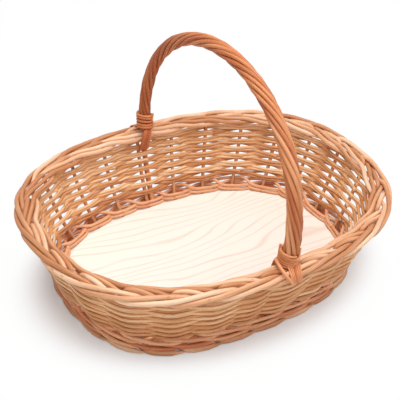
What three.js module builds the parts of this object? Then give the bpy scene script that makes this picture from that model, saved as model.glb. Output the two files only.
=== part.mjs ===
// Oval willow basket: a drilled plywood board, a woven wall, a plaited border and a roped handle.
// Millimetres, +Z up, with the origin on the ground under the middle of the board.
import * as THREE from 'three';

// Board
const boardLength = 381;
const boardWidth = 266;
const boardThickness = 4.5;
const holeInset = 6; // from the board's edge in to the middle of a hole
const ovalPower = 2.47; // 2 draws an ellipse, more draws a squarer oval

// Wall
const stakesPerHalf = 12; // from one leg of the handle round to the other
const stakeDiameter = 5.5;
const upsetRows = 3;
const upsetDiameter = 5;
const sidingRows = 14;
const sidingDiameter = 4.4;
const rowGap = 0.5; // clear height between one row and the next
const wallFlare = 32.5; // how far the top of the wall stands outside the holes
const wallBelly = 0.5; // 0 draws a straight wall, more draws a rounder one
const stakeKnee = 1.1; // from the board up to where a stake starts to lean
const endSetback = 1; // from the middle of a stake to a weaver's end behind it
const seamStep = 7; // stakes from one row's ends to those of the next row, less one row
const clearance = 0.3; // between pieces that touch

// Foot and border, both made of the ends of the stakes
const footReach = 11; // from the holes out to the foot
const footRise = 1.1; // a stake climbs this far from the ground to its hole

// Routes of a stake's two ends: stake spacings along the wall, then for the foot shares of its reach
// and rise, and for the border stake diameters out from the wall line and up from the weave
const footRoute = [
  { spacings: 1.14, reach: 1, lift: 0 },
  { spacings: 0.74, reach: 1, lift: 0 },
  { spacings: 0.36, reach: 0.85, lift: 0.7 },
  { spacings: 0.12, reach: 0.35, lift: 1 },
  { spacings: 0, reach: 0, lift: 1 },
];
const borderRoute = [
  { spacings: 0, reach: 0, lift: 1.36 },
  { spacings: 0.06, reach: 0, lift: 2.15 },
  { spacings: 0.25, reach: 0.12, lift: 2.3 },
  { spacings: 0.5, reach: 0.42, lift: 1.75 },
  { spacings: 0.74, reach: 1.05, lift: 1 },
  { spacings: 1.02, reach: 1.8, lift: 0.36 },
  { spacings: 1.5, reach: 2.55, lift: 0.36 },
  { spacings: 2, reach: 2.55, lift: 1.15 },
  { spacings: 2.4, reach: 2.35, lift: 1.8 },
  { spacings: 2.65, reach: 1.82, lift: 2.24 },
  { spacings: 2.87, reach: 1.24, lift: 2.22 },
  { spacings: 3.05, reach: 1.02, lift: 1.6 },
  { spacings: 3.22, reach: 0.51, lift: 0.91 },
  { spacings: 3.48, reach: -0.45, lift: 0.65 },
  { spacings: 3.85, reach: -1.75, lift: 0.75 },
  { spacings: 4.45, reach: -2.36, lift: 1.45 },
  { spacings: 5, reach: -2.05, lift: 2.2 },
  { spacings: 5.4, reach: -1.1, lift: 2.45 },
  { spacings: 5.7, reach: -0.05, lift: 2.1 },
];

// Handle
const coreDiameter = 7;
const coreInset = 3.5; // the bow leaves the border this far inside the wall line
const coreSpacing = 1.5; // clear width between the bow and the stake beside it
const strandCount = 8;
const strandDiameter = 4.2;
const strandGap = 0.5; // clear width between neighbouring strands
const strandLayLength = 190; // one full turn of a strand round the bow
const springRise = 24; // from the top of the border up to where the arch begins
const springBulge = 4; // the arch begins this far outside the bow's foot
const archRise = 156;

// Lashing
const lashingDiameter = 2.6;
const lashingTurns = 5;
const lashingGap = 0.7; // clear width between neighbouring turns
const lashingDrop = 8.5; // from the lowest border rod down to the tucked end

// Facets
const fullTurn = 2 * Math.PI;
const ovalSteps = 720;
const boardSides = 60;
const holeSides = 6;
const stakeSides = 6;
const stakeSteps = 4;
const weaverSides = 5;
const coreSides = 8;
const legSteps = 4;
const strandSides = 5;
const strandSteps = 30;
const archSteps = 12;
const lashingSides = 6;
const lashingStepsPerTurn = 24;
const lashingTailSteps = 12;

// Derived sizes
const stakeCount = 2 * stakesPerHalf;
const stakeRadius = stakeDiameter / 2;
const coreRadius = coreDiameter / 2;
const strandRadius = strandDiameter / 2;
const lashingRadius = lashingDiameter / 2;
const holeHalfLength = boardLength / 2 - holeInset;
const holeHalfWidth = boardWidth / 2 - holeInset;
const footRun = stakeRadius * Math.cos(Math.PI / stakeSides);
const footGap = footRun + footRise + stakeRadius + clearance;
const boardTop = footGap + boardThickness;
const upsetPitch = upsetDiameter + rowGap;
const sidingPitch = sidingDiameter + rowGap;
const sidingFoot = boardTop + clearance + upsetRows * upsetPitch;
const weaveTop = sidingFoot + sidingRows * sidingPitch - rowGap;
const borderBase = weaveTop + clearance + stakeRadius;
const borderHeight = Math.max(...borderRoute.map(({ lift }) => lift)) * stakeDiameter;
const borderOutside = Math.max(...borderRoute.map(({ reach }) => reach)) * stakeDiameter;
const borderTop = borderBase + borderHeight + stakeRadius;
const wallFoot = boardTop + stakeKnee;

// A point at an angle round the oval that lies a given spread outside the line of holes
function ovalPoint(angle, spread, height) {
  const alongLength = Math.abs(Math.cos(angle)) / (holeHalfLength + spread);
  const alongWidth = Math.abs(Math.sin(angle)) / (holeHalfWidth + spread);
  const radius = (alongLength ** ovalPower + alongWidth ** ovalPower) ** (-1 / ovalPower);
  return new THREE.Vector3(radius * Math.cos(angle), radius * Math.sin(angle), height);
}

// Lengths along the middle of the wall, which set the stakes out evenly
const girthTable = [0];
for (let step = 1; step <= ovalSteps; step += 1) {
  const from = ovalPoint(((step - 1) / ovalSteps) * fullTurn, wallFlare / 2, 0);
  const to = ovalPoint((step / ovalSteps) * fullTurn, wallFlare / 2, 0);
  girthTable.push(girthTable[step - 1] + from.distanceTo(to));
}
const girth = girthTable[ovalSteps];
const stakeSpacing = girth / stakeCount;

function angleAt(along) {
  const turns = Math.floor(along / girth);
  const rest = along - turns * girth;
  const next = Math.max(girthTable.findIndex((length) => length > rest), 1);
  const part = (rest - girthTable[next - 1]) / (girthTable[next] - girthTable[next - 1]);
  return (turns + (next - 1 + part) / ovalSteps) * fullTurn;
}

function wallPoint(along, spread, height) {
  return ovalPoint(angleAt(along), spread, height);
}

// How far the wall line stands outside the holes at a height, and how much it leans there
function wallSpread(height) {
  const rise = (height - wallFoot) / (borderBase - wallFoot);
  return wallFlare * (rise + wallBelly * rise * (1 - rise));
}

function leanFactor(height) {
  const rise = (height - wallFoot) / (borderBase - wallFoot);
  const slope = (wallFlare * (1 + wallBelly * (1 - 2 * rise))) / (borderBase - wallFoot);
  return Math.hypot(1, slope);
}

// A closed rod along a path, with mitred bends and flat ends
function rodGeometry(path, diameter, sides, firstNormal) {
  const positions = [];
  const triangles = [];
  const normal = firstNormal.clone();
  const last = path.length - 1;
  path.forEach((point, station) => {
    const tangent = new THREE.Vector3();
    if (station > 0) {
      tangent.add(point.clone().sub(path[station - 1]).normalize());
    }
    if (station < last) {
      tangent.add(path[station + 1].clone().sub(point).normalize());
    }
    tangent.normalize();
    normal.addScaledVector(tangent, -normal.dot(tangent)).normalize();
    const across = new THREE.Vector3().crossVectors(tangent, normal);
    for (let side = 0; side < sides; side += 1) {
      const turn = ((side + 0.5) / sides) * fullTurn;
      const corner = point.clone();
      corner.addScaledVector(normal, Math.cos(turn) * diameter / 2);
      corner.addScaledVector(across, Math.sin(turn) * diameter / 2);
      positions.push(corner.x, corner.y, corner.z);
    }
  });
  for (let station = 0; station < last; station += 1) {
    for (let side = 0; side < sides; side += 1) {
      const here = station * sides + side;
      const beside = station * sides + (side + 1) % sides;
      triangles.push(here, beside, here + sides);
      triangles.push(beside, beside + sides, here + sides);
    }
  }
  for (let side = 1; side < sides - 1; side += 1) {
    triangles.push(0, side + 1, side);
    triangles.push(last * sides, last * sides + side, last * sides + side + 1);
  }
  const geometry = new THREE.BufferGeometry();
  geometry.setAttribute('position', new THREE.Float32BufferAttribute(positions, 3));
  geometry.setIndex(triangles);
  geometry.computeVertexNormals();
  return geometry;
}

const basket = new THREE.Group();

function addPiece(name, geometry, color, roughness) {
  const material = new THREE.MeshStandardMaterial({ color, roughness, metalness: 0 });
  const piece = new THREE.Mesh(geometry, material);
  piece.name = name;
  basket.add(piece);
  return piece;
}

const birch = 0xf4e6d2;
const willowStake = 0xb97843;
const willowUpset = 0xc47c48;
const willowSiding = 0xdba66d;
const willowHandle = 0xc8874f;
const willowSplit = 0xcf8f58;
const birchRoughness = 0.6;
const willowRoughness = 0.55;
const up = new THREE.Vector3(0, 0, 1);
const sideways = new THREE.Vector3(1, 0, 0);

// The bow stands at the middle of each long side, and the first stake stands beside it
const quarterGirth = girth / 4;
const firstStake = quarterGirth + coreRadius + coreSpacing + stakeRadius;

function stakeAlong(index) {
  return firstStake + index * stakeSpacing;
}

// Board with one hole for each stake
function boardGeometry() {
  const outline = [];
  for (let side = 0; side < boardSides; side += 1) {
    const edge = ovalPoint((side / boardSides) * fullTurn, holeInset, 0);
    outline.push(new THREE.Vector2(edge.x, edge.y));
  }
  const shape = new THREE.Shape(outline);
  const holeRadius = (stakeRadius + clearance) / Math.cos(Math.PI / holeSides);
  for (let index = 0; index < stakeCount; index += 1) {
    const middle = wallPoint(stakeAlong(index), 0, 0);
    const rim = [];
    for (let side = 0; side < holeSides; side += 1) {
      const turn = (side / holeSides) * fullTurn;
      const x = middle.x + holeRadius * Math.cos(turn);
      const y = middle.y + holeRadius * Math.sin(turn);
      rim.push(new THREE.Vector2(x, y));
    }
    shape.holes.push(new THREE.Path(rim));
  }
  return new THREE.ExtrudeGeometry(shape, { depth: boardThickness, bevelEnabled: false });
}
addPiece('base_board', boardGeometry(), birch, birchRoughness).position.z = footGap;

// One stake, from the tip of its foot up through the board and the wall to its end in the border
function stakePath(index) {
  const along = stakeAlong(index);
  const path = footRoute.map(({ spacings, reach, lift }) => {
    const height = footRun + lift * footRise;
    return wallPoint(along + spacings * stakeSpacing, reach * footReach, height);
  });
  for (let step = 0; step <= stakeSteps; step += 1) {
    const height = wallFoot + (step / stakeSteps) * (borderBase - wallFoot);
    path.push(wallPoint(along, wallSpread(height), height));
  }
  borderRoute.forEach(({ spacings, reach, lift }) => {
    const spread = wallFlare + reach * stakeDiameter;
    const height = borderBase + lift * stakeDiameter;
    path.push(wallPoint(along + spacings * stakeSpacing, spread, height));
  });
  return path;
}

for (let index = 0; index < stakeCount; index += 1) {
  const name = `stake_${String(index + 1).padStart(2, '0')}`;
  const geometry = rodGeometry(stakePath(index), stakeDiameter, stakeSides, up);
  addPiece(name, geometry, willowStake, willowRoughness);
}

// Uprights in order round the wall: the stakes, and the bow's two legs, each just before its own stake
const uprights = [];
for (let index = 0; index < stakeCount; index += 1) {
  if (index % stakesPerHalf === 0) {
    const legAlong = quarterGirth + index * stakeSpacing;
    uprights.push({ along: legAlong, radius: coreRadius, phase: index });
  }
  uprights.push({ along: stakeAlong(index), radius: stakeRadius, phase: index });
}

// One row of the weave, in front of one stake and behind the next, with its ends behind a stake
function weaverPath(row, height, diameter) {
  const spread = wallSpread(height);
  const bow = (upright) => {
    const square = (upright.radius + diameter / 2 + clearance) * leanFactor(height);
    const reach = square * Math.hypot(1, (2 * square) / stakeSpacing);
    return (upright.phase + row) % 2 === 0 ? reach : -reach;
  };
  const seamPhase = (seamStep * row + 1) % stakeCount;
  const seam = uprights.findIndex(({ phase, radius }) => phase === seamPhase && radius === stakeRadius);
  const first = uprights[seam];
  const path = [wallPoint(first.along + endSetback, spread + bow(first), height)];
  for (let step = 1; step < uprights.length; step += 1) {
    const upright = uprights[(seam + step) % uprights.length];
    const along = upright.along < first.along ? upright.along + girth : upright.along;
    path.push(wallPoint(along, spread + bow(upright), height));
  }
  path.push(wallPoint(first.along + girth - endSetback, spread + bow(first), height));
  return path;
}

for (let row = 0; row < upsetRows + sidingRows; row += 1) {
  const name = `weaver_${String(row + 1).padStart(2, '0')}`;
  const isUpset = row < upsetRows;
  const diameter = isUpset ? upsetDiameter : sidingDiameter;
  const foot = isUpset
    ? boardTop + clearance + row * upsetPitch
    : sidingFoot + (row - upsetRows) * sidingPitch;
  const path = weaverPath(row, foot + diameter / 2, diameter);
  const color = isUpset ? willowUpset : willowSiding;
  addPiece(name, rodGeometry(path, diameter, weaverSides, up), color, willowRoughness);
}

// Centre line of the handle from the border on one side over to the border on the other
const legSide = holeHalfWidth + wallFlare - coreInset;
const springHeight = borderTop + springRise;
const handlePoints = [new THREE.Vector3(0, legSide, borderTop + clearance)];
for (let step = 0; step <= 2 * archSteps; step += 1) {
  const turn = (step / (2 * archSteps)) * Math.PI;
  const across = (legSide + springBulge) * Math.cos(turn);
  handlePoints.push(new THREE.Vector3(0, across, springHeight + archRise * Math.sin(turn)));
}
handlePoints.push(new THREE.Vector3(0, -legSide, borderTop + clearance));
const handleCurve = new THREE.CatmullRomCurve3(handlePoints);
const handleLength = handleCurve.getLength();

// A point at a turn round the handle, at a length along it
function roundHandle(length, radius, turn) {
  const share = length / handleLength;
  const tangent = handleCurve.getTangentAt(share);
  const outward = new THREE.Vector3().crossVectors(tangent, sideways);
  const point = handleCurve.getPointAt(share);
  point.addScaledVector(sideways, radius * Math.cos(turn));
  point.addScaledVector(outward, radius * Math.sin(turn));
  return point;
}

// The bow, with a leg down through the border and the wall on each side
const legFoot = boardTop + clearance + coreRadius;
const leg = [];
for (let step = 0; step <= legSteps; step += 1) {
  const height = legFoot + (step / legSteps) * (weaveTop - legFoot);
  leg.push(new THREE.Vector3(0, holeHalfWidth + wallSpread(height), height));
}
const otherLeg = leg.map(({ x, y, z }) => new THREE.Vector3(-x, -y, z)).reverse();
const corePath = [...leg, ...handlePoints, ...otherLeg];
const coreGeometry = rodGeometry(corePath, coreDiameter, coreSides, sideways);
addPiece('handle_core', coreGeometry, willowHandle, willowRoughness);

// Strands twisted round the bow, close enough to touch each other
const strandReach = (strandDiameter + strandGap) / (2 * Math.sin(Math.PI / strandCount));
for (let strand = 0; strand < strandCount; strand += 1) {
  const path = [];
  for (let step = 0; step <= strandSteps; step += 1) {
    const length = strandRadius + (step / strandSteps) * (handleLength - strandDiameter);
    const turn = (strand / strandCount - (length - handleLength / 2) / strandLayLength) * fullTurn;
    path.push(roundHandle(length, strandReach, turn));
  }
  const geometry = rodGeometry(path, strandDiameter, strandSides, sideways);
  addPiece(`handle_strand_${strand + 1}`, geometry, willowHandle, willowRoughness);
}

// Lashing: a tail tucked under the border, up its outer face, and then turns round the handle's foot
const lashingReach = strandReach + strandRadius + clearance + lashingRadius;
const lashingPitch = lashingDiameter + lashingGap;
const lashingStart = lashingPitch;
const lashingSpread = holeHalfWidth + wallFlare + borderOutside + stakeRadius + lashingDiameter;
const tuckSide = holeHalfWidth + wallFlare + stakeRadius + sidingDiameter;

function lashingPath() {
  const tail = new THREE.CatmullRomCurve3([
    new THREE.Vector3(lashingReach, tuckSide, borderBase - lashingDrop),
    new THREE.Vector3(lashingReach, tuckSide + lashingDiameter, borderBase - lashingDrop),
    new THREE.Vector3(lashingReach, lashingSpread, borderBase),
    new THREE.Vector3(lashingReach, lashingSpread, borderBase + borderHeight / 2),
    new THREE.Vector3(lashingReach, lashingSpread - 2 * lashingDiameter, borderTop),
    roundHandle(lashingStart, Math.SQRT2 * lashingReach, Math.PI / 4),
    roundHandle(lashingStart, lashingReach, 0),
  ]);
  const path = tail.getSpacedPoints(lashingTailSteps);
  path.pop();
  for (let step = 0; step <= lashingTurns * lashingStepsPerTurn; step += 1) {
    const turn = step / lashingStepsPerTurn;
    path.push(roundHandle(lashingStart + turn * lashingPitch, lashingReach, -turn * fullTurn));
  }
  const last = path.at(-1);
  const heading = last.clone().sub(path.at(-2)).normalize();
  path.push(last.clone().addScaledVector(heading, lashingDiameter));
  return path;
}

function leastGap(path, diameter) {
  let least = Infinity;
  const apart = lashingStepsPerTurn / 2;
  for (let one = 0; one < path.length; one += 1) {
    for (let other = one + apart; other < path.length; other += 1) {
      least = Math.min(least, path[one].distanceTo(path[other]));
    }
  }
  return least - diameter;
}

const windingPath = lashingPath();
console.log(`lashing: least gap to itself ${leastGap(windingPath, lashingDiameter).toFixed(2)} mm`);
['lashing_back', 'lashing_front'].forEach((name, foot) => {
  const geometry = rodGeometry(windingPath, lashingDiameter, lashingSides, up);
  addPiece(name, geometry, willowSplit, willowRoughness).rotation.z = foot * Math.PI;
});

export default basket;
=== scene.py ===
# Oval willow basket with a plywood base, a plaited border and a roped handle, in metres over its CAD frame
import bisect
import math
import random

import bmesh
import bpy
from mathutils import Matrix, Vector, noise


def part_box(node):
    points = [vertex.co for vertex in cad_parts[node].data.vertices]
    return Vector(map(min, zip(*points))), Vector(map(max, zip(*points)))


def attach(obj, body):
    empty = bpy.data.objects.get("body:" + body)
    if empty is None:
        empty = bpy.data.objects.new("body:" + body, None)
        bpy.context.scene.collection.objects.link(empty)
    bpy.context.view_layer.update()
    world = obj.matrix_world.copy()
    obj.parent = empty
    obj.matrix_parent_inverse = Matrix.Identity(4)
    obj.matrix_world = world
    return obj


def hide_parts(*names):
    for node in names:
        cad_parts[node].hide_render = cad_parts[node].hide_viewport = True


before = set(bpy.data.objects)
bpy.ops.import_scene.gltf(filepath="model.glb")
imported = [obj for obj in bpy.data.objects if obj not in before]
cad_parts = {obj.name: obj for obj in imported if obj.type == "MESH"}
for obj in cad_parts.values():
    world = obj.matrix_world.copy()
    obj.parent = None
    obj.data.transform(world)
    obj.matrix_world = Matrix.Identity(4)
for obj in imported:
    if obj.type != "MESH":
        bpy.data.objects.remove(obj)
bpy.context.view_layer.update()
mm = 0.001
fullTurn = 2 * math.pi
random.seed(24)
noise.seed_set(24)
print("frame:", len(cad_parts), "CAD nodes loaded")


def between(first, last, share):
    return first + (last - first) * share


def jitter(reach):
    return random.uniform(-reach, reach)


def runLengths(points, start=0.0):
    # how far along a line each of its points lies
    lengths = [start]
    for i in range(1, len(points)):
        lengths.append(lengths[-1] + (points[i] - points[i - 1]).length)
    return lengths


# camera, light and floor

photo = {
    "azimuth": -37.16,
    "elevation": 34.47,
    "roll": 5.27,
    "distance": 1.17978,
    "target": (0.00675, 0.01805, 0.080),
    "focalPixels": 956.0,
    "middle": (205.3, 202.4),  # where the lens axis meets the picture
    "pixels": 400,  # width and height of the picture
    "sensorWidth": 36,  # millimetres
    "clip": (0.05, 30),
}


def placeCamera():
    azimuth = math.radians(photo["azimuth"])
    elevation = math.radians(photo["elevation"])
    roll = math.radians(photo["roll"])
    level = math.cos(elevation)
    back = Vector((math.sin(azimuth) * level, -math.cos(azimuth) * level, math.sin(elevation)))
    right = Vector((0, 0, 1)).cross(back).normalized()
    up = back.cross(right)
    rolledRight = math.cos(roll) * right + math.sin(roll) * up
    rolledUp = math.cos(roll) * up - math.sin(roll) * right
    data = bpy.data.cameras.new("camera")
    data.sensor_width = photo["sensorWidth"]
    data.lens = photo["focalPixels"] / photo["pixels"] * photo["sensorWidth"]
    data.shift_x = (photo["pixels"] / 2 - photo["middle"][0]) / photo["pixels"]
    data.shift_y = (photo["middle"][1] - photo["pixels"] / 2) / photo["pixels"]
    data.clip_start, data.clip_end = photo["clip"]
    camera = bpy.data.objects.new("camera", data)
    turned = Matrix((rolledRight, rolledUp, back)).transposed().to_4x4()
    camera.matrix_world = Matrix.Translation(Vector(photo["target"]) + back * photo["distance"]) @ turned
    bpy.context.collection.objects.link(camera)
    bpy.context.scene.camera = camera


placeCamera()


def linear(hexColour):
    # sRGB to linear light
    channels = [int(hexColour[i:i + 2], 16) / 255 for i in (1, 3, 5)]
    return [c / 12.92 if c <= 0.04045 else ((c + 0.055) / 1.055) ** 2.4 for c in channels] + [1.0]


def addNode(tree, kind, inputs=None, **settings):
    # an input is a value, a socket, or a node whose first output in use is meant
    node = tree.nodes.new("ShaderNode" + kind)
    for key, value in settings.items():
        setattr(node, key, value)
    for key, value in (inputs or {}).items():
        if isinstance(value, bpy.types.Node):
            value = next(socket for socket in value.outputs if socket.enabled)
        if isinstance(value, bpy.types.NodeSocket):
            tree.links.new(value, node.inputs[key])
        else:
            node.inputs[key].default_value = value
    return node


def newMaterial(name):
    material = bpy.data.materials.new(name)
    material.use_nodes = True
    material.node_tree.nodes.clear()
    return material, material.node_tree


def linkMesh(bm, name, materials):
    mesh = bpy.data.meshes.new(name)
    bm.to_mesh(mesh)
    bm.free()
    thing = bpy.data.objects.new(name, mesh)
    for material in materials:
        mesh.materials.append(material)
    bpy.context.collection.objects.link(thing)
    return thing


studio = {
    "white": "#ffffff",
    "paper": "#f3f3f3",
    "skyStrength": 0.32,  # even light from all round
    "skySeen": 1.0,  # brightness of the background, 1 is white
    "aim": (0, 0, 0.08),  # the point that the softboxes face
    "lamps": {  # place, size and power of each softbox
        "topSoftbox": ((-0.08, 0.0, 1.5), 1.2, 18.5),
        "frontSoftbox": ((-0.65, -1.05, 0.95), 1.1, 5.2),
        "sideSoftbox": ((1.1, -0.8, 1.0), 1.1, 5.0),
    },
    "floorSize": 4.0,
    "floorShare": (0.85, 0.04),  # the floor's own lit surface in its look, at the foot and away from it
    "floorLift": 1.0,  # brightness of the rest of it, 1 is white
    "footOval": (0.2, 0.143),  # half length and half width of the foot
    "shadowReach": (0.96, 1.3),  # the shadow's start and end, in foot ovals
}


def softbox(name, place, size, power):
    data = bpy.data.lights.new(name, "AREA")
    data.shape = "DISK"
    data.size = size
    data.energy = power
    lamp = bpy.data.objects.new(name, data)
    aim = Vector(studio["aim"]) - Vector(place)
    lamp.matrix_world = Matrix.Translation(place) @ aim.to_track_quat("-Z", "Y").to_matrix().to_4x4()
    bpy.context.collection.objects.link(lamp)


def seenRays(tree):
    # 1 where the camera looks straight on, or by way of a gloss or a glass
    path = addNode(tree, "LightPath").outputs
    seen = path["Is Camera Ray"]
    for kind in ("Is Glossy Ray", "Is Transmission Ray"):
        seen = addNode(tree, "Math", {0: seen, 1: path[kind]}, operation="ADD", use_clamp=True)
    return seen


def makeSky():
    world = bpy.data.worlds.new("studio")
    world.use_nodes = True
    tree = world.node_tree
    tree.nodes.clear()
    light, white = (addNode(tree, "Background", {"Color": linear(studio["white"]), "Strength": studio[key]})
                    for key in ("skyStrength", "skySeen"))
    sky = addNode(tree, "MixShader", {0: seenRays(tree), 1: light, 2: white})
    addNode(tree, "OutputWorld", {"Surface": sky})
    bpy.context.scene.world = world


def makeFloor():
    # white paper sweep: matt, lit near the foot, and lifted to white away from it for the camera and in gloss
    material, tree = newMaterial("whitePaperSweep")
    paper = addNode(tree, "BsdfDiffuse", {"Color": linear(studio["paper"]), "Roughness": 1.0})
    white = addNode(tree, "Emission", {"Color": linear(studio["white"]), "Strength": studio["floorLift"]})
    place = addNode(tree, "TexCoord").outputs["Object"]
    halfLength, halfWidth = studio["footOval"]
    ovals = addNode(tree, "Mapping", {"Vector": place, "Scale": (1 / halfLength, 1 / halfWidth, 0)})
    away = addNode(tree, "VectorMath", {0: ovals}, operation="LENGTH")
    start, end = studio["shadowReach"]
    near, far = studio["floorShare"]
    share = addNode(tree, "MapRange", {"Value": away, "From Min": start, "From Max": end, "To Min": near,
                                       "To Max": far}, interpolation_type="SMOOTHSTEP")
    lifted = addNode(tree, "MixShader", {0: share, 1: white, 2: paper})
    shown = addNode(tree, "MixShader", {0: seenRays(tree), 1: paper, 2: lifted})
    addNode(tree, "OutputMaterial", {"Surface": shown})
    bm = bmesh.new()
    bmesh.ops.create_grid(bm, x_segments=1, y_segments=1, size=studio["floorSize"])
    floor = linkMesh(bm, "floor", [material])


for lampName, lampSettings in studio["lamps"].items():
    softbox(lampName, *lampSettings)
makeSky()
bpy.context.scene.view_settings.view_transform = "Standard"
makeFloor()
print("studio: camera, softboxes, sky and floor")

# setting-out of the oval and the wall: as in the CAD, with the small unevenness of a hand-made basket

layout = {
    "holeInset": 6 * mm,  # from the board's edge in to the middle of a hole
    "ovalPower": 2.47,  # 2 draws an ellipse, more draws a squarer oval
    "ovalSteps": 720,
    "stakes": 24,
    "stakeSetback": 7.75 * mm,  # from the middle of a long side to the stake beside it
    "bowAside": (2 * mm, 6 * mm),  # the bow's back and front legs stand this far to the middle's other side
    "bowRadius": 3.5 * mm,
    "wallFlare": 32.5 * mm,
    "wallBelly": 0.5,
    "footDraw": 6 * mm,  # the left end is drawn in this far at the foot
    "rimDraw": 6 * mm,  # and the right end at the rim
    "footFill": 0.4,  # the foot's front left corner is squarer than the oval by this power
    "rimLift": 6 * mm,  # the rim rises at the right end
    "liftMiddle": 4,  # degrees round the oval to the highest place
    "liftNarrowness": 10,
    "stakeKnee": 1.1 * mm,  # the wall starts this far above the board
    "borderBase": 98.982 * mm,
    "borderTop": 115.207 * mm,
}
boardLow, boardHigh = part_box("base_board")
holeHalfLength = boardHigh.x - layout["holeInset"]
holeHalfWidth = boardHigh.y - layout["holeInset"]
wallFoot = boardHigh.z + layout["stakeKnee"]
wallTop = layout["borderBase"]


def ovalPoint(angle, spread, height):
    rise = min(max(height / wallTop, 0), 1)
    draw = layout["rimDraw"] * rise if math.cos(angle) > 0 else layout["footDraw"] * (1 - rise)
    alongLength = abs(math.cos(angle)) / (holeHalfLength + spread - draw)
    alongWidth = abs(math.sin(angle)) / (holeHalfWidth + spread)
    power = layout["ovalPower"]
    if math.cos(angle) < 0 and math.sin(angle) < 0:
        power += layout["footFill"] * (1 - rise) * math.sin(2 * angle)
    radius = (alongLength ** power + alongWidth ** power) ** (-1 / power)
    towardsEnd = max(math.cos(angle - math.radians(layout["liftMiddle"])), 0) ** layout["liftNarrowness"]
    lifted = height + layout["rimLift"] * rise ** 2 * towardsEnd
    return Vector((radius * math.cos(angle), radius * math.sin(angle), lifted))


girthTable = runLengths([ovalPoint(step / layout["ovalSteps"] * fullTurn, layout["wallFlare"] / 2, 0)
                         for step in range(layout["ovalSteps"] + 1)])
girth = girthTable[-1]
stakeSpacing = girth / layout["stakes"]
firstStake = girth / 4 + layout["stakeSetback"]


def angleAt(along):
    turns, rest = divmod(along, girth)
    index = min(max(bisect.bisect_right(girthTable, rest), 1), layout["ovalSteps"])
    part = (rest - girthTable[index - 1]) / (girthTable[index] - girthTable[index - 1])
    return (turns + (index - 1 + part) / layout["ovalSteps"]) * fullTurn


def wallPoint(along, spread, height):
    return ovalPoint(angleAt(along), spread, height)


def wallRise(height):
    return (height - wallFoot) / (wallTop - wallFoot)


def wallSpread(height):
    rise = wallRise(height)
    return layout["wallFlare"] * (rise + layout["wallBelly"] * rise * (1 - rise))


def leanFactor(height):
    # how much further out than square to the wall a rod stands, measured level
    slope = layout["wallFlare"] * (1 + layout["wallBelly"] * (1 - 2 * wallRise(height)))
    return math.hypot(1, slope / (wallTop - wallFoot))


# rods

growth = {
    "swell": 0.05,  # how far a rod's thickness wanders
    "swellLength": 28 * mm,
    "noiseRow": (3.7, 0.5),  # where in the noise each rod's wander is read
    "budEvery": (45 * mm, 120 * mm),
    "budSwell": 0.10,
    "budLength": 2.2 * mm,
    "endBevel": 0.35 * mm,
    "bevelShare": 0.4,  # of the first and the last step, at most
    "grainStart": (0, 30),  # metres along the log's grain, where a rod begins
    "cornerSteps": 8,
    "easeSamples": 9,
    "leastNormal": 1e-4,
    "weld": 1e-7,
}


def evenPoints(points, step):
    lengths = runLengths(points)
    count = max(2, round(lengths[-1] / step))
    even = []
    for i in range(count + 1):
        wanted = lengths[-1] * i / count
        index = min(max(bisect.bisect_right(lengths, wanted), 1), len(points) - 1)
        span = lengths[index] - lengths[index - 1]
        part = (wanted - lengths[index - 1]) / span if span else 0
        even.append(points[index - 1].lerp(points[index], part))
    return even


def bendRod(corners, reach, step):
    # a route with its corners eased, each over up to reach on either side
    points = [corners[0]]
    for i in range(1, len(corners) - 1):
        before = corners[i - 1] - corners[i]
        after = corners[i + 1] - corners[i]
        start = corners[i] + before.normalized() * min(reach, before.length / 2)
        end = corners[i] + after.normalized() * min(reach, after.length / 2)
        for part in range(growth["cornerSteps"] + 1):
            t = part / growth["cornerSteps"]
            points.append(start.lerp(corners[i], t).lerp(corners[i].lerp(end, t), t))
    points.append(corners[-1])
    return evenPoints(points, step)


def easedPlaces(place, reach):
    # even places about this one, over which the mean of a woven route has its bends eased
    last = growth["easeSamples"] - 1
    return [place + reach * (2 * sample / last - 1) for sample in range(growth["easeSamples"])]


def rodPlaces(path):
    # at each point of the path a frame whose Z runs along the rod, turning as little as it can
    places = []
    normal = Vector((0, 0, 1))
    for i, point in enumerate(path):
        ahead = path[min(i + 1, len(path) - 1)] - path[max(i - 1, 0)]
        tangent = ahead.normalized()
        normal = normal - tangent * normal.dot(tangent)
        if normal.length < growth["leastNormal"]:
            normal = tangent.orthogonal()
        normal.normalize()
        across = tangent.cross(normal)
        turned = Matrix((normal, across, tangent)).transposed().to_4x4()
        places.append(Matrix.Translation(point) @ turned)
    return places


def rodRadii(path, buttRadius, tipRadius, seed):
    # tapering from butt to tip, with a small swelling where each bud was rubbed off
    dice = random.Random(seed)
    lengths = runLengths(path)
    rowStep, layer = growth["noiseRow"]
    buds = []
    place = dice.uniform(0, growth["budEvery"][1])
    while place < lengths[-1]:
        buds.append(place)
        place += dice.uniform(*growth["budEvery"])
    radii = []
    for length in lengths:
        radius = buttRadius + (tipRadius - buttRadius) * length / lengths[-1]
        wander = noise.noise(Vector((length / growth["swellLength"], seed * rowStep, layer)))
        bud = sum(math.exp(-((length - b) / growth["budLength"]) ** 2) for b in buds)
        radii.append(radius * (1 + growth["swell"] * wander + growth["budSwell"] * bud))
    return radii


def startPiece():
    bm = bmesh.new()
    bm.verts.layers.float_vector.new("grain")
    bm.verts.layers.float.new("tone")
    return bm


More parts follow.
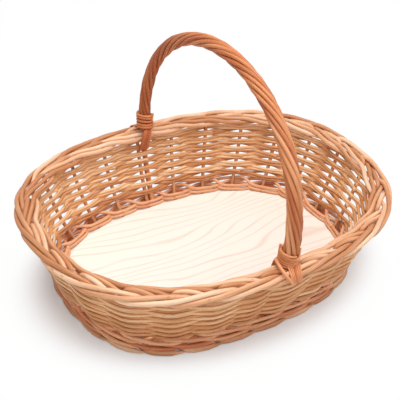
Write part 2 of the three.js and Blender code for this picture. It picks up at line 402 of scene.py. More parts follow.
def addRod(bm, path, radii, sides, tones):
    # a flat grid rolled along the path and closed, with the rod's own straight coordinates kept for its grain
    grain = bm.verts.layers.float_vector["grain"]
    toneLayer = bm.verts.layers.float["tone"]
    bevel = growth["endBevel"]
    first = path[0].lerp(path[1], min(growth["bevelShare"], bevel / (path[1] - path[0]).length))
    last = path[-1].lerp(path[-2], min(growth["bevelShare"], bevel / (path[-1] - path[-2]).length))
    path = [path[0], first] + path[1:-1] + [last, path[-1]]
    radii = [radii[0] - bevel, radii[0]] + radii[1:-1] + [radii[-1], radii[-1] - bevel]
    if isinstance(tones, list):
        tones = tones[:1] + tones + tones[-1:]
    else:
        tones = [tones] * len(path)
    places = rodPlaces(path)
    lengths = runLengths(path, random.uniform(*growth["grainStart"]))
    rings = len(path) - 1
    skin = bmesh.ops.create_grid(bm, x_segments=rings, y_segments=sides, size=1.0)["verts"]
    for vert in skin:
        ring = round((vert.co.x + 1) / 2 * rings)
        turn = round((vert.co.y + 1) / 2 * sides) % sides / sides * fullTurn
        section = Vector((math.cos(turn), math.sin(turn), 0)) * radii[ring]
        vert[grain] = Vector((lengths[ring], section.x, section.y))
        vert[toneLayer] = tones[ring]
        vert.co = places[ring] @ section
    bmesh.ops.remove_doubles(bm, verts=skin, dist=growth["weld"])
    openEdges = [edge for edge in bm.edges if edge.is_boundary]
    for face in bmesh.ops.holes_fill(bm, edges=openEdges, sides=0)["faces"]:
        face.material_index = 1


def finishPiece(bm, name, materials, node):
    bmesh.ops.recalc_face_normals(bm, faces=bm.faces)
    for face in bm.faces:
        face.smooth = face.material_index == 0
    piece = linkMesh(bm, name, materials)
    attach(piece, "root")
    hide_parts(node)
    return piece


# finishes

def noiseOver(tree, place, sizes, detail, roughness=0.5, shift=(0, 0, 0)):
    # a noise pattern drawn out to these sizes along the three axes of place
    scale = [1 / size for size in sizes]
    drawn = addNode(tree, "Mapping", {"Vector": place, "Location": shift, "Scale": scale})
    return addNode(tree, "TexNoise", {"Vector": drawn, "Scale": 1.0, "Detail": detail,
                                      "Roughness": roughness})


def setStops(ramp, stops):
    # a new ramp has its first and last stops already
    for element, (position, colour) in ((ramp.elements[0], stops[0]), (ramp.elements[1], stops[-1])):
        element.position = position
        element.color = colour
    for position, colour in stops[1:-1]:
        ramp.elements.new(position).color = colour


willowSkin = {
    # size along the rod and across it, detail and roughness of each pattern
    "streak": ((45 * mm, 1.1 * mm, 1.1 * mm), 3.0, 0.6),
    "patch": ((70 * mm, 9 * mm, 9 * mm), 2.0, 0.5),
    "fleck": ((11 * mm, 3.2 * mm, 3.2 * mm), 1.0, 0.5),
    "toneShare": 0.22,  # how far a rod's own tone, the patches and the streaks move its shade
    "patchShare": 0.9,
    "streakShare": 0.5,
    "shades": (("dark", 0.42), ("mid", 0.7), ("pale", 0.98)),  # where each colour of a finish is reached
    "fleckEdge": (0.68, 0.78),
    "fleckDepth": 0.45,
    "roughness": (0.42, 0.62),
    "bump": 0.35,
    "bumpDepth": 0.25 * mm,
    "refraction": 1.48,
    "finishes": {
        "boiledWillowStake": {"dark": "#be7d50", "mid": "#dda57a", "pale": "#f0c8a6", "fleck": "#7d4322"},
        "boiledWillowUpset": {"dark": "#b05c38", "mid": "#d07d52", "pale": "#e6ac80", "fleck": "#6b361c"},
        "boiledWillowSiding": {"dark": "#c58452", "mid": "#e0a773", "pale": "#f2c99c", "fleck": "#80502a"},
        "boiledWillowHandle": {"dark": "#a9572d", "mid": "#c97d4b", "pale": "#e2a67a", "fleck": "#683718"},
        "splitWillowLashing": {"dark": "#b86236", "mid": "#d6854f", "pale": "#e8a779", "fleck": "#6f3c1e"},
    },
}


def willow(name, finish):
    # Willow rods boiled in their bark and stripped: a satin skin, tan to red-brown, with long fine streaks,
    # slow shifts of tone along each rod and small dark flecks where buds and scuffs were.
    material, tree = newMaterial(name)
    grain = addNode(tree, "Attribute", attribute_name="grain").outputs["Vector"]
    tone = addNode(tree, "Attribute", attribute_name="tone").outputs["Fac"]
    streak, patch, fleck = (noiseOver(tree, grain, *willowSkin[key]) for key in ("streak", "patch", "fleck"))
    depth = 0.0
    for pattern, key in ((tone, "toneShare"), (patch, "patchShare"), (streak, "streakShare")):
        depth = addNode(tree, "Math", {0: pattern, 1: willowSkin[key], 2: depth}, operation="MULTIPLY_ADD")
    shade = addNode(tree, "ValToRGB", {"Fac": depth})
    setStops(shade.color_ramp, [(position, linear(finish[key])) for key, position in willowSkin["shades"]])
    start, full = willowSkin["fleckEdge"]
    fleckDepth = addNode(tree, "MapRange", {"Value": fleck, "From Min": start, "From Max": full,
                                            "To Max": willowSkin["fleckDepth"]})
    colour = addNode(tree, "Mix", {"Factor": fleckDepth, "A": shade, "B": linear(finish["fleck"])},
                     data_type="RGBA")
    smooth, rough = willowSkin["roughness"]
    roughness = addNode(tree, "MapRange", {"Value": streak, "To Min": smooth, "To Max": rough})
    bump = addNode(tree, "Bump", {"Height": streak, "Strength": willowSkin["bump"],
                                  "Distance": willowSkin["bumpDepth"]})
    skin = addNode(tree, "BsdfPrincipled", {"Base Color": colour, "Roughness": roughness, "Normal": bump,
                                            "IOR": willowSkin["refraction"]})
    addNode(tree, "OutputMaterial", {"Surface": skin})
    return material


cutWood = {
    "speck": ((8 * mm, 0.7 * mm, 0.7 * mm), 2.0),  # size along the rod and across it, and detail
    "pores": "#e0b98a",
    "sapwood": "#f2d9b4",
    "roughness": 0.75,
    "refraction": 1.45,
}


def cutWillow():
    # Cut end of a stripped willow rod: pale sapwood, a little darker where its pores are cut across.
    material, tree = newMaterial("cutWillowEnd")
    grain = addNode(tree, "Attribute", attribute_name="grain").outputs["Vector"]
    speck = noiseOver(tree, grain, *cutWood["speck"])
    colour = addNode(tree, "Mix", {"Factor": speck, "A": linear(cutWood["pores"]),
                                   "B": linear(cutWood["sapwood"])}, data_type="RGBA")
    wood = addNode(tree, "BsdfPrincipled", {"Base Color": colour, "Roughness": cutWood["roughness"],
                                            "IOR": cutWood["refraction"]})
    addNode(tree, "OutputMaterial", {"Surface": wood})
    return material


stakeWillow, upsetWillow, sidingWillow, handleWillow, lashingWillow = (
    willow(name, finish) for name, finish in willowSkin["finishes"].items())
cutEnd = cutWillow()

# board

board = {
    "outlineSides": 180,
    "holeSides": 20,
    "holeRadius": 3.05 * mm,
    "edgeBevel": 0.5 * mm,
    "bevelSteps": 2,
    "sharpAngle": 1.2,  # radians, the least turn of an edge that is bevelled
    "ringSpacing": 12 * mm,
    "ringWander": 10.0,  # how strongly the growth rings wander
    # size along, across and through the board, and detail; for the figure also roughness and place in the log
    "figure": ((240 * mm, 85 * mm, 1.0), 1.5, 0.4, (2.3, 5.1, 0.0)),
    "pore": ((9 * mm, 0.8 * mm, 2 * mm), 2.0),
    "fade": ((90 * mm, 30 * mm, 1.0), 1.0),
    "lateWood": ((0.0, 0.0), (0.72, 0.04), (0.88, 0.85), (0.94, 0.35), (1.0, 0.0)),  # depth across a ring
    "poreShare": 0.12,
    "face": ("#fcf3e9", "#d6b9a4"),  # between the rings' lines and in them
    "edge": ("#c8814d", "#a9622f"),  # the outer plies and the middle one, in a dark willow brown that is painted shade for the edge seen through the weave
    "edgeSlope": 0.4,  # a face whose normal rises less than this shows the plies in their painted-shade colours
    "plies": 3,
    "bump": 0.15,
    "bumpDepth": 0.15 * mm,
    "roughness": 0.6,
    "refraction": 1.45,
}


def birchPlywood():
    # Sanded birch plywood: a creamy face veneer peeled from the log, so that its growth rings run the length
    # in faint pinkish contour lines, with short fine pores, and darker plies showing at the edge, coloured
    # a dark willow brown as painted shade for the edge that shows through the weave.
    material, tree = newMaterial("sandedBirchPlywood")
    place = addNode(tree, "TexCoord").outputs["Object"]
    axes = addNode(tree, "SeparateXYZ", {0: place}).outputs
    figure, pore, fade = (noiseOver(tree, place, *board[key]) for key in ("figure", "pore", "fade"))
    across = addNode(tree, "Math", {0: axes["Y"], 1: board["ringSpacing"]}, operation="DIVIDE")
    rings = addNode(tree, "Math", {0: figure, 1: board["ringWander"], 2: across}, operation="MULTIPLY_ADD")
    ring = addNode(tree, "Math", {0: rings}, operation="FRACT")
    lateWood = addNode(tree, "ValToRGB", {"Fac": ring})
    setStops(lateWood.color_ramp, [(share, (depth, depth, depth, 1)) for share, depth in board["lateWood"]])
    faded = addNode(tree, "Math", {0: lateWood, 1: fade}, operation="MULTIPLY")
    depth = addNode(tree, "Math", {0: pore, 1: board["poreShare"], 2: faded}, operation="MULTIPLY_ADD")
    facing = addNode(tree, "SeparateXYZ", {0: addNode(tree, "NewGeometry").outputs["Normal"]})
    level = addNode(tree, "Math", {0: facing.outputs["Z"]}, operation="ABSOLUTE")
    atEdge = addNode(tree, "Math", {0: level, 1: board["edgeSlope"]}, operation="LESS_THAN")
    plyHeight = addNode(tree, "MapRange", {"Value": axes["Z"], "From Min": boardLow.z,
                                           "From Max": boardHigh.z, "To Max": board["plies"]})
    # half a ply to either side of the middle
    plyMiddle = addNode(tree, "Math", {0: plyHeight, 1: board["plies"] / 2, 2: 0.5}, operation="COMPARE")
    face, edge = (addNode(tree, "Mix", {"Factor": factor, "A": linear(board[key][0]),
                                        "B": linear(board[key][1])}, data_type="RGBA")
                  for key, factor in (("face", depth), ("edge", plyMiddle)))
    # painted shade: faces at the board's edge take the dark ply colours
    colour = addNode(tree, "Mix", {"Factor": atEdge, "A": face, "B": edge}, data_type="RGBA")
    bump = addNode(tree, "Bump", {"Height": pore, "Strength": board["bump"], "Distance": board["bumpDepth"]})
    wood = addNode(tree, "BsdfPrincipled", {"Base Color": colour, "Normal": bump,
                                            "Roughness": board["roughness"], "IOR": board["refraction"]})
    addNode(tree, "OutputMaterial", {"Surface": wood})
    return material


def makeBoard():
    bm = bmesh.new()
    outline = bmesh.ops.create_circle(bm, radius=1.0, segments=board["outlineSides"])["verts"]
    for vert in outline:
        vert.co = ovalPoint(math.atan2(vert.co.y, vert.co.x), layout["holeInset"], boardLow.z)
    for index in range(layout["stakes"]):
        middle = wallPoint(firstStake + index * stakeSpacing, 0, boardLow.z)
        bmesh.ops.create_circle(bm, radius=board["holeRadius"], segments=board["holeSides"],
                                matrix=Matrix.Translation(middle))
    sheet = bmesh.ops.triangle_fill(bm, use_beauty=True, edges=bm.edges[:], normal=(0, 0, 1))["geom"]
    faces = [item for item in sheet if isinstance(item, bmesh.types.BMFace)]
    made = bmesh.ops.extrude_face_region(bm, geom=faces, use_keep_orig=True)["geom"]
    risen = [item for item in made if isinstance(item, bmesh.types.BMVert)]
    bmesh.ops.translate(bm, verts=risen, vec=(0, 0, boardHigh.z - boardLow.z))
    bmesh.ops.recalc_face_normals(bm, faces=bm.faces)
    rims = [edge for edge in bm.edges
            if len(edge.link_faces) == 2 and edge.calc_face_angle(0) > board["sharpAngle"]]
    bmesh.ops.bevel(bm, geom=rims, offset=board["edgeBevel"], affect="EDGES", segments=board["bevelSteps"],
                    profile=0.5, material=-1)
    piece = finishPiece(bm, "baseBoard", [birchPlywood()], "base_board")
    for face in piece.data.polygons:
        face.use_smooth = False


makeBoard()
print("board: drilled plywood oval")

# stakes, from the foot through the board and the wall into the border

stake = {
    "footRadius": 3.5 * mm,
    "wallRadius": 2.4 * mm,
    "borderRadius": 2.9 * mm,
    "tipRadius": 2.7 * mm,
    "borderPitch": 5.5 * mm,  # the thickness that the border's route is counted in
    "footReach": (9.8 * mm, 11.2 * mm),  # at the ends and along the sides
    "footRun": 4.1 * mm,  # height of the foot's middle
    "footTip": 18 * mm,  # the foot's end thins to a slant over this length
    "footTipShare": 0.3,  # and to this share of its thickness
    "footPower": 4,  # with a higher power the foot keeps its thickness nearer to the board
    "borderSwell": 12,  # the rod thickens over one part in so many of its run in the border
    "wallSteps": 6,
    "ease": 11 * mm,
    "step": 2.0 * mm,
    "sides": 12,
    "borderTones": (-1.5, 1.3),
    "footTone": -0.4,
    "footToneShare": 0.5,  # of the rod's tone in the border
    "paintedWallShade": -0.9,  # painted shade: the uprights are darker where they stand in the wall, for the shade between the rows
    "seed": 100,
    # stake spacings along, then shares of the reach
    "footRoute": ((1.32, 1.03), (1.15, 1.05), (1.0, 1.04), (0.75, 1.0), (0.5, 0.95), (0.33, 0.8), (0.2, 0.5),
                  (0.08, 0.18), (0, 0)),
    # stake spacings along, then stake thicknesses out from the wall line and up from the weave
    "borderRoute": ((0, 0.2, 1.45), (0.06, 0.32, 1.95), (0.22, 0.32, 2.05), (0.45, 0.6, 1.83),
                    (0.68, 1.18, 1.25), (0.9, 1.86, 0.65), (1.15, 2.5, 0.46), (1.5, 2.54, 0.88),
                    (1.8, 2.6, 1.28), (2.1, 2.55, 1.52), (2.4, 2.1, 1.74), (2.7, 1.89, 2.09),
                    (3.0, 1.7, 2.12), (3.22, 1.28, 1.59), (3.42, 0.88, 0.87), (3.62, 0.16, 0.5),
                    (3.85, -0.82, 0.55), (4.15, -1.68, 0.97), (4.5, -1.46, 1.23), (4.82, -0.74, 1.58),
                    (5.1, -0.74, 1.67), (5.35, -0.64, 1.63), (5.6, -0.12, 1.75), (5.83, 0.6, 1.59),
                    (6.02, 1.28, 1.1), (6.22, 1.51, 0.46)),
}


def stakePath(index):
    along = firstStake + index * stakeSpacing
    corners = []
    for spacings, reach in stake["footRoute"]:
        place = along + spacings * stakeSpacing
        spread = between(*stake["footReach"], math.sin(angleAt(place)) ** 2)
        corners.append(wallPoint(place, reach * spread, stake["footRun"]))
    for part in range(stake["wallSteps"] + 1):
        height = between(wallFoot, wallTop, part / stake["wallSteps"])
        corners.append(wallPoint(along, wallSpread(height), height))
    for spacings, reach, lift in stake["borderRoute"]:
        spread = layout["wallFlare"] + reach * stake["borderPitch"]
        height = wallTop + lift * stake["borderPitch"]
        corners.append(wallPoint(along + spacings * stakeSpacing, spread, height))
    return bendRod(corners, stake["ease"], stake["step"])


def stakeRadii(path, seed):
    radii = rodRadii(path, 1.0, 1.0, seed)
    tones = []
    borderTone = random.uniform(*stake["borderTones"])
    tipShare = stake["footTipShare"]
    footEnd = next(i for i, point in enumerate(path) if point.z > wallFoot)
    wallEnd = next(i for i, point in enumerate(path) if point.z > wallTop)
    for i in range(len(path)):
        if i < footEnd:
            radii[i] *= between(stake["footRadius"], stake["wallRadius"], (i / footEnd) ** stake["footPower"])
            radii[i] *= min(1, tipShare + (1 - tipShare) * i * stake["step"] / stake["footTip"])
            tones.append(borderTone * stake["footToneShare"] + stake["footTone"])
        elif i < wallEnd:
            # painted shade: the stake is darker where it stands among the rows of the wall
            radii[i] *= stake["wallRadius"]
            tones.append(stake["paintedWallShade"])
        else:
            part = (i - wallEnd) / (len(path) - wallEnd)
            swell = min(1, part * stake["borderSwell"])
            border = between(stake["borderRadius"], stake["tipRadius"], part)
            radii[i] *= between(stake["wallRadius"], border, swell)
            tones.append(between(stake["paintedWallShade"], borderTone, swell))
    return radii, tones


for index in range(layout["stakes"]):
    bm = startPiece()
    path = stakePath(index)
    radii, tones = stakeRadii(path, stake["seed"] + index)
    addRod(bm, path, radii, stake["sides"], tones)
    finishPiece(bm, f"stake{index + 1:02d}", [stakeWillow, cutEnd], f"stake_{index + 1:02d}")
print("stakes:", layout["stakes"])

# upset: two rounds of a three-rod wale, each rod in front of two stakes and behind the third

upset = {
    "rods": 3,
    "diameter": 4.2 * mm,
    "thickness": (0.94, 1.05),
    "butt": 1.03,
    "tip": 0.95,
    "wobble": 0.3 * mm,
    "wobbleLength": 40 * mm,
    "noiseRow": (6.1, 10),  # where in the noise each rod's wobble is read
    "ease": 8 * mm,
    "step": 2.0 * mm,
    "sides": 12,
    "seeds": (190, 10),  # the first, and from one rod to the next
    # reaches are how far each length of a rod goes before the next one, in stakes. A route is stake spacings
    # from the stake that the rod passes behind, then millimetres out from the holes and up.
    "lowerRound": {
        "tone": 0.6,
        "reaches": (9, 9, 6),
        "route": ((0, -2.2, 14.0), (0.25, -2.0, 14.6), (0.4, -0.8, 15.6), (0.5, 2.4, 16.4), (0.6, 7.0, 16.8),
                  (0.72, 10.0, 16.4), (0.85, 10.4, 15.4), (1, 10.3, 14.2), (1.25, 12.4, 13.0),
                  (1.5, 12.6, 12.2), (1.75, 11.8, 11.5), (2, 10.3, 9.9), (2.14, 9.6, 9.2), (2.24, 7.8, 12.0),
                  (2.33, 3.6, 13.0), (2.43, -0.6, 13.2), (2.6, -1.9, 13.2), (3, -2.2, 14.0)),
    },
    "upperRound": {
        "tone": 1.2,  # paler
        "reaches": (6, 9, 9),
        "route": ((0, -0.6, 18.2), (0.25, -0.4, 18.8), (0.4, 0.4, 20.8), (0.5, 3.2, 23.4), (0.6, 7.8, 25.2),
                  (0.72, 11.2, 25.0), (0.85, 11.6, 23.8), (1, 11.6, 23.0), (1.3, 12.5, 22.0),
                  (1.5, 12.9, 20.9), (1.75, 11.9, 19.1), (2, 11.3, 18.0), (2.14, 10.8, 17.8),
                  (2.25, 8.6, 19.0), (2.35, 4.6, 19.4), (2.45, 1.2, 18.6), (2.6, -0.2, 18.0),
                  (3, -0.6, 18.2)),
    },
    "toneSpread": 1,
    "insideTone": 1.1,  # the rods are pale where they lie inside the stakes
    "insideSpread": (1 * mm, 7 * mm),
}


def waleSpot(route, spacings):
    # how far out and up a rod of the wale runs, its bends eased
    total = Vector((0, 0))
    for place in easedPlaces(spacings, upset["ease"] / stakeSpacing):
        place %= upset["rods"]
        index = bisect.bisect_right([spot[0] for spot in route], place)
        before, after = route[index - 1], route[index]
        part = (place - before[0]) / (after[0] - before[0])
        total += Vector(before[1:]).lerp(Vector(after[1:]), part)
    return total / growth["easeSamples"] * mm


def walePath(route, rod, firstPlace, lastPlace):
    path = []
    insideShares = []
    nearest, farthest = upset["insideSpread"]
    rowStep, layer = upset["noiseRow"]
    count = round((lastPlace - firstPlace) * stakeSpacing / upset["step"])
    for i in range(count + 1):
        place = firstPlace + (lastPlace - firstPlace) * i / count
        along = firstStake + place * stakeSpacing
        spot = waleSpot(route, place - rod)
        sway = noise.noise_vector(Vector((along / upset["wobbleLength"], rod * rowStep, layer)))
        sway *= upset["wobble"]
        path.append(wallPoint(along, spot.x + sway.x, spot.y + sway.y))
        insideShares.append(min(max((farthest - spot.x) / (farthest - nearest), 0), 1))
    return path, insideShares


firstSeed, rodSeeds = upset["seeds"]
for rod in range(upset["rods"]):
    bm = startPiece()
    for wale in (upset["lowerRound"], upset["upperRound"]):
        place = rod
        for length, reach in enumerate(wale["reaches"]):
            path, insideShares = walePath(wale["route"], rod, place, place + reach)
            radius = upset["diameter"] / 2 * random.uniform(*upset["thickness"])
            seed = firstSeed + rod * rodSeeds + length
            radii = rodRadii(path, radius * upset["butt"], radius * upset["tip"], seed)
            outsideTone = wale["tone"] + jitter(upset["toneSpread"])
            tones = [between(outsideTone, upset["insideTone"], share) for share in insideShares]
            addRod(bm, path, radii, upset["sides"], tones)
            place += reach
    finishPiece(bm, f"weaver{rod + 1:02d}", [upsetWillow, cutEnd], f"weaver_{rod + 1:02d}")
print("upset: two rounds of three-rod wale")

# siding: rows of two thin rods together, in front of one stake and behind the next

siding = {
    "rows": 14,
    "firstRow": 3,  # rows of the CAD below it
    "diameter": 3.6 * mm,
    "foot": 30.4 * mm,  # height of the lowest row's middle
    "pitch": 4.91 * mm,
    "press": (0.98, 0.66),  # the rods nip the stakes, at the front and the back to this share
    "seamStep": 7,  # a row's ends lie this many stakes on from those of the row below
    "seamJump": (0, 4),  # and those of its upper rod further on, by up to so many fours of stakes
    "joins": ((0, 10, 24), (0, 14, 24), (0, 8, 16, 24), (0, 12, 24)),  # stakes where rods of a row begin
    "joinGap": 1 * mm,
    "bend": 8 * mm,  # half the length of the bend over a stake
    "leanInside": -4,  # degrees that the two rods lean outwards, inside a stake
    "leanOutside": -40,  # outside a stake
    "leanBetween": (-30, 50),  # and half way between stakes, along the front and along the back
    "drift": 1.0 * mm,  # how far rows rise and sink together
    "driftWaves": (2.2, 1.8, 1.2),  # along, across and up
    "driftLayer": 4.0,  # where in the noise it is read
    "wobble": 0.45 * mm,  # how far each rod rises and sinks on its own
    "wobbleLength": 50 * mm,
    "noiseRow": (5.3, 9.1),
    "parting": 0.12,  # how far the two rods part and close with it
    "thickness": (0.94, 1.08),
    "butt": 1.07,
    "tip": 0.91,
    "lap": 9 * mm,  # a new rod starts this far before the stake that holds it
    "lapIn": 2.6 * mm,
    "lowTones": (-2.2, -1.2),  # the lowest rows are redder, as the upset is
    "toneSpread": 1,
    "step": 2.0 * mm,
    "sides": 10,
    "seeds": (200, 10, 3),  # the first, from row to row, and from rod to rod of a row
}

uprights = []
for index in range(layout["stakes"]):
    if index % (layout["stakes"] // 2) == 0:
        aside = layout["bowAside"][0 if index == 0 else 1]
        uprights.append((girth / 4 + index * stakeSpacing - aside, layout["bowRadius"], index))
    uprights.append((firstStake + index * stakeSpacing, stake["wallRadius"], index))


def frontToBack(pair, along):
    return between(*pair, (1 + math.sin(angleAt(along))) / 2)


def rowStations(row, height):
    stations = []
    for lap in (-1, 0, 1, 2):
        for along, radius, phase in uprights:
            square = frontToBack(siding["press"], along) * (radius + siding["diameter"] / 2)
            reach = square * leanFactor(height) / (1 - siding["bend"] / stakeSpacing)
            stations.append((along + lap * girth, reach if (phase + row) % 2 == 0 else -reach))
    return stations


def rowOffset(stations, alongs, along):
    total = 0.0
    for place in easedPlaces(along, siding["bend"]):
        index = bisect.bisect_right(alongs, place)
        (fromAlong, fromReach), (toAlong, toReach) = stations[index - 1], stations[index]
        total += fromReach + (toReach - fromReach) * (place - fromAlong) / (toAlong - fromAlong)
    return total / growth["easeSamples"]


def rowPath(row, height, level, startAlong, endAlong):
    # level is 1 for the upper rod of the row and -1 for the lower one
    stations = rowStations(row, height)
    alongs = [along for along, reach in stations]
    thickest = (stake["wallRadius"] + siding["diameter"] / 2) * leanFactor(height)
    share = wallRise(height)
    held = rowOffset(stations, alongs, startAlong)
    lengthWaves, widthWaves, heightWaves = siding["driftWaves"]
    rowStep, layer = siding["noiseRow"]
    count = round((endAlong + siding["lap"] - startAlong) / siding["step"])
    path = []
    for i in range(count + 1):
        along = startAlong - siding["lap"] + (endAlong + siding["lap"] - startAlong) * i / count
        offset = rowOffset(stations, alongs, along)
        lead = along - startAlong
        if lead < 0:
            offset = held - siding["lapIn"] * (lead / siding["lap"]) ** 2
        crossing = 1 - min(abs(offset) / (thickest * frontToBack(siding["press"], along)), 1)
        leanAtStake = siding["leanOutside"] if offset > 0 else siding["leanInside"]
        lean = math.radians(between(leanAtStake, frontToBack(siding["leanBetween"], along), crossing))
        angle = angleAt(along)
        drift = noise.noise(Vector((math.cos(angle) * lengthWaves, math.sin(angle) * widthWaves,
                                    share * heightWaves + siding["driftLayer"])))
        wobble = noise.noise(Vector((along / siding["wobbleLength"], row * rowStep + level, layer)))
        # the drift is full half way up the wall and nothing at its foot and its top
        lift = siding["drift"] * drift * 4 * share * (1 - share) + siding["wobble"] * wobble
        apart = level * siding["diameter"] / 2 * (1 + siding["parting"] * wobble)
        spread = wallSpread(height) + offset + apart * math.sin(lean)
        path.append(wallPoint(along, spread, height + lift + apart * math.cos(lean)))
    return path


firstSeed, rowSeeds, levelSeeds = siding["seeds"]
for row in range(siding["rows"]):
    cadRow = row + siding["firstRow"]
    height = siding["foot"] + row * siding["pitch"]
    rowTone = siding["lowTones"][row] if row < len(siding["lowTones"]) else 0.0
    bm = startPiece()
    for level in (-1, 1):
        jump = 2 * random.randint(*siding["seamJump"]) * (level + 1)
        firstPhase = (siding["seamStep"] * cadRow + 1 + jump) % layout["stakes"]
        joins = random.choice(siding["joins"])
        for rod in range(len(joins) - 1):
            startAlong = firstStake + (firstPhase + joins[rod]) * stakeSpacing
            endAlong = firstStake + (firstPhase + joins[rod + 1]) * stakeSpacing - siding["joinGap"]
            if startAlong > firstStake + girth:
                startAlong, endAlong = startAlong - girth, endAlong - girth
            path = rowPath(cadRow, height, level, startAlong, endAlong)
            radius = siding["diameter"] / 2 * random.uniform(*siding["thickness"])
            seed = firstSeed + cadRow * rowSeeds + level * levelSeeds + rod
            radii = rodRadii(path, radius * siding["butt"], radius * siding["tip"], seed)
            addRod(bm, path, radii, siding["sides"], rowTone + jitter(siding["toneSpread"]))
    finishPiece(bm, f"weaver{cadRow + 1:02d}", [sidingWillow, cutEnd], f"weaver_{cadRow + 1:02d}")
print("siding:", siding["rows"], "rows of two rods")

# handle

handle = {
    "legSide": 156 * mm,
    "legFoot": 14.832 * mm,
    "weaveTop": 95.932 * mm,
    "footGap": 0.3 * mm,
    "leanPower": 6,  # the higher, the nearer to its feet the bow leans
    "springRise": 24 * mm,
    "springBulge": 4 * mm,
    "archRise": 156 * mm,
    "archSteps": 12,
    "legSteps": 4,
    "lineStep": 1.0 * mm,
    "lineEnd": 0.001,  # places on the line stop this part of a step short of its end
    "tangentSteps": (3, 4),  # back and ahead
    "coreEase": 12 * mm,
    "coreStep": 4 * mm,
    "coreSeed": 300,
    "strands": 8,
    "strandDiameter": 4.6 * mm,
    "strandReach": 6.14 * mm,
    "strandInset": 2 * mm,  # from the ends of the handle's line
    "layLength": 160 * mm,
    "thickness": (0.88, 1.08),
    "backShare": 0.89,  # the strands' butts are at the front foot and their tips at the back foot
    "frontShare": 1.1,
    "taper": 0.05,
    "tones": (-1.5, -0.2),  # painted shade: darker at the back foot than at the front one, for the less lit far leg
    "toneRate": 1.6,  # so many times faster than along the whole handle
    "toneSpread": 0.7,
    "wander": 0.16,  # turns of a strand's slack, in radians
    "wanderLength": 60 * mm,
    "noiseRow": (4.1, 2.3),
    "step": 3.0 * mm,
    "sides": 10,
    "strandSeed": 310,
}
legSide = handle["legSide"]


def bowLean(across):
    # the bow's legs stand aside at their feet, and its arch is in the middle
    toBack, toFront = layout["bowAside"]
    share = min(abs(across) / legSide, 1) ** handle["leanPower"]
    return toBack * share if across > 0 else -toFront * share


def handleLine():
    top = layout["borderTop"]
    corners = [Vector((bowLean(legSide), legSide, top + handle["footGap"]))]
    for part in range(2 * handle["archSteps"] + 1):
        turn = part / (2 * handle["archSteps"]) * math.pi
        across = (legSide + handle["springBulge"]) * math.cos(turn)
        height = top + handle["springRise"] + handle["archRise"] * math.sin(turn)
        corners.append(Vector((bowLean(across), across, height)))
    corners.append(Vector((bowLean(-legSide), -legSide, top + handle["footGap"])))
    return corners


handleCorners = handleLine()
handlePath = bendRod(handleCorners, math.inf, handle["lineStep"])
handleLength = runLengths(handlePath)[-1]


def roundHandle(length, radius, turn):
    share = min(max(length / handleLength, 0), 1)
    radius *= between(handle["backShare"], handle["frontShare"], share)
    last = len(handlePath) - 1
    place = min(share * last, last - handle["lineEnd"])
    index = int(place)
    point = handlePath[index].lerp(handlePath[index + 1], place - index)
    stepsBack, stepsAhead = handle["tangentSteps"]
    tangent = (handlePath[min(index + stepsAhead, last)] - handlePath[max(index - stepsBack, 0)]).normalized()
    outward = tangent.cross(Vector((1, 0, 0)))
    return point + Vector((1, 0, 0)) * radius * math.cos(turn) + outward * radius * math.sin(turn)


def makeCore():
    backLeg = []
    frontLeg = []
    for part in range(handle["legSteps"] + 1):
        height = between(handle["legFoot"], handle["weaveTop"], part / handle["legSteps"])
        out = holeHalfWidth + wallSpread(height)
        backLeg.append(Vector((bowLean(legSide), out, height)))
        frontLeg.append(Vector((bowLean(-legSide), -out, height)))
    bm = startPiece()
    path = bendRod(backLeg + handleCorners + frontLeg[::-1], handle["coreEase"], handle["coreStep"])
    radii = rodRadii(path, layout["bowRadius"], layout["bowRadius"], handle["coreSeed"])
    addRod(bm, path, radii, handle["sides"], 0.0)
    finishPiece(bm, "handleBow", [handleWillow, cutEnd], "handle_core")


def makeStrand(strand):
    radius = handle["strandDiameter"] / 2 * random.uniform(*handle["thickness"])
    count = round(handleLength / handle["step"])
    inset = handle["strandInset"]
    rowStep, layer = handle["noiseRow"]
    path = []
    for i in range(count + 1):
        length = inset + (handleLength - 2 * inset) * i / count
        slack = noise.noise(Vector((length / handle["wanderLength"], strand * rowStep, layer)))
        turn = (strand / handle["strands"] - (length - handleLength / 2) / handle["layLength"]) * fullTurn
        path.append(roundHandle(length, handle["strandReach"], turn + handle["wander"] * slack))
    taper = handle["taper"] * (1 if strand % 2 else -1)
    radii = rodRadii(path, radius * (handle["backShare"] + taper), radius * (handle["frontShare"] - taper),
                     handle["strandSeed"] + strand)
    bm = startPiece()
    ownTone = jitter(handle["toneSpread"])
    # painted shade: each strand's tone darkens towards the back foot
    tones = [ownTone + between(*handle["tones"], min(1, handle["toneRate"] * i / count))
             for i in range(count + 1)]
    addRod(bm, path, radii, handle["sides"], tones)
    finishPiece(bm, f"handleStrand{strand + 1}", [handleWillow, cutEnd], f"handle_strand_{strand + 1}")


makeCore()
for strand in range(handle["strands"]):
    makeStrand(strand)
print("handle: bow and", handle["strands"], "strands")

# lashings

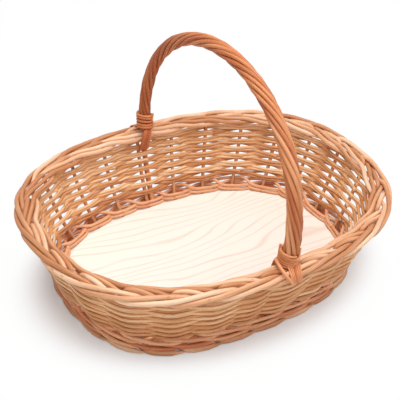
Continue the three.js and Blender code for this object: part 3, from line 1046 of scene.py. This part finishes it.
lashing = {
    # reach is from the handle's line to the outside of its strands, start is from the handle's foot up to the
    # lowest turn, and lean is how far the turns climb towards -X. Ends are cut ends of the lashing that stand
    # up beside the leg: millimetres across, out from the leg, and up, from foot to tip.
    "back": {
        "node": "lashing_back", "turns": 5, "pitch": 3.9 * mm, "radius": 1.85 * mm, "reach": 8.7 * mm,
        # painted shade: the back lashing's tone is darker than the front one's, for the less lit far leg
        "start": 1.2 * mm, "lean": 0.05, "tone": -0.8,
        "ends": (((5.5, -6, 127), (6.2, -6.6, 134), (6.6, -6.8, 139)),),
    },
    "front": {
        "node": "lashing_front", "turns": 6, "pitch": 3.25 * mm, "radius": 1.45 * mm, "reach": 8.45 * mm,
        "start": -5.6 * mm, "lean": 0.18, "tone": 0.0,
        "ends": (((-8.5, -6.2, 124), (-8.6, -6.4, 130), (-8.2, -6.2, 136)),
                 ((9.0, 6.6, 118), (9.2, 6.8, 128), (9.6, 6.8, 133))),
    },
    "firstTurn": 0.25,  # the turns start this far round the leg
    "turnStep": 2.0 * mm,
    "turnTip": 0.92,
    "turnTones": 0.5,
    "turnSeed": 400,
    "sway": 2.0 * mm,  # how far a turn tilts
    "swayRate": 0.45,
    "swayPhase": 0.8,  # radians
    "noiseRow": (7.0, 1.5),
    "stepsPerTurn": 32,
    "sides": 10,
    "ease": 12 * mm,
    "step": 1.8 * mm,
    "tip": 0.94,
    "fan": 7,
    "fanRadius": 1.05 * mm,
    "fanThickness": (0.94, 1.08),
    "fanTones": 1,
    "fanSeed": 410,
    "unevenAcross": 0.2,  # millimetres
    "unevenUp": 0.3,
    # millimetres across from the leg, out from the middle of the basket, and up, for the middle of each fan
    "outerFan": ((1.0, 165, 115), (-1.1, 170, 113.5), (-3.4, 175.5, 111), (-3.2, 178.6, 105),
                 (-0.6, 177.5, 97.5), (2, 170.5, 92.5)),
    "innerFan": ((1.5, 149.5, 118), (-2.2, 145.8, 114), (-4.1, 144.4, 108), (-5.9, 144.8, 100),
                 (-5.4, 147, 93), (-4.5, 149.5, 88), (-4, 153, 84.5)),
    "outerSpread": (2.5, 1.9),  # millimetres between the fan's strands, at its top and its end
    "innerSpread": (1.8, 2.3),
    "endRadius": 1.3 * mm,
    "endTone": 0.5,
    "endSeed": 425,
    # a rod over the border beside the front leg
    "stayRod": ((-6, 150, 112), (-11, 148.5, 115), (-13.2, 152, 117), (-16.7, 160, 118.2),
                (-18.6, 168, 117.7), (-18.2, 174.5, 115), (-14.6, 179.5, 109.5), (-10.5, 181.5, 103)),
    "stayRadius": 2.1 * mm,
    "stayTone": 0.6,
    "staySeed": 430,
}


def lashingTurns(side, sign, aside):
    foot = lashing[side]
    rowStep, layer = lashing["noiseRow"]
    turns = []
    for i in range(foot["turns"] * lashing["stepsPerTurn"] + 1):
        turn = i / lashing["stepsPerTurn"]
        tilt = lashing["sway"] * noise.noise(Vector((turn * lashing["swayRate"], sign * rowStep, layer)))
        tilt *= math.sin(turn * fullTurn + lashing["swayPhase"])
        length = foot["start"] + turn * foot["pitch"] + tilt
        point = roundHandle(length if side == "back" else handleLength - length,
                            foot["reach"] + foot["radius"], (lashing["firstTurn"] - turn) * fullTurn)
        climb = min(length, 0) - foot["lean"] * (point.x - aside)
        turns.append(point + Vector((0, 0, climb)))
    return evenPoints(turns, lashing["turnStep"])


def addLashingRod(bm, corners, radius, tone, seed):
    path = bendRod(corners, lashing["ease"], lashing["step"])
    addRod(bm, path, rodRadii(path, radius, radius * lashing["tip"], seed), lashing["sides"], tone)


def makeLashing(side):
    foot = lashing[side]
    sign = 1 if side == "back" else -1
    aside = bowLean(sign * legSide)
    bm = startPiece()
    turns = lashingTurns(side, sign, aside)
    # painted shade: the tone carries the darker shade painted on the back lashing
    tone = foot["tone"] + jitter(lashing["turnTones"])
    radii = rodRadii(turns, foot["radius"], foot["radius"] * lashing["turnTip"], lashing["turnSeed"])
    addRod(bm, turns, radii, lashing["sides"], tone)
    for fan, spread in (("outerFan", "outerSpread"), ("innerFan", "innerSpread")):
        for strand in range(lashing["fan"]):
            corners = []
            for i, (across, out, up) in enumerate(lashing[fan]):
                gap = between(*lashing[spread], i / (len(lashing[fan]) - 1))
                x = across + (strand - (lashing["fan"] - 1) / 2) * gap + jitter(lashing["unevenAcross"])
                z = up + jitter(lashing["unevenUp"])
                corners.append(Vector((aside + x * mm, sign * out * mm, z * mm)))
            radius = lashing["fanRadius"] * random.uniform(*lashing["fanThickness"])
            tone = foot["tone"] + jitter(lashing["fanTones"])
            addLashingRod(bm, corners, radius, tone, lashing["fanSeed"] + strand)
    for end in foot["ends"]:
        corners = [Vector((aside + x * mm, sign * (legSide + out * mm), up * mm)) for x, out, up in end]
        addLashingRod(bm, corners, lashing["endRadius"], lashing["endTone"], lashing["endSeed"])
    if side == "front":
        corners = [Vector((aside + x * mm, sign * out * mm, up * mm)) for x, out, up in lashing["stayRod"]]
        addLashingRod(bm, corners, lashing["stayRadius"], lashing["stayTone"], lashing["staySeed"])
    finishPiece(bm, side + "Lashing", [lashingWillow, cutEnd], foot["node"])


makeLashing("back")
makeLashing("front")
print("lashings: front and back")
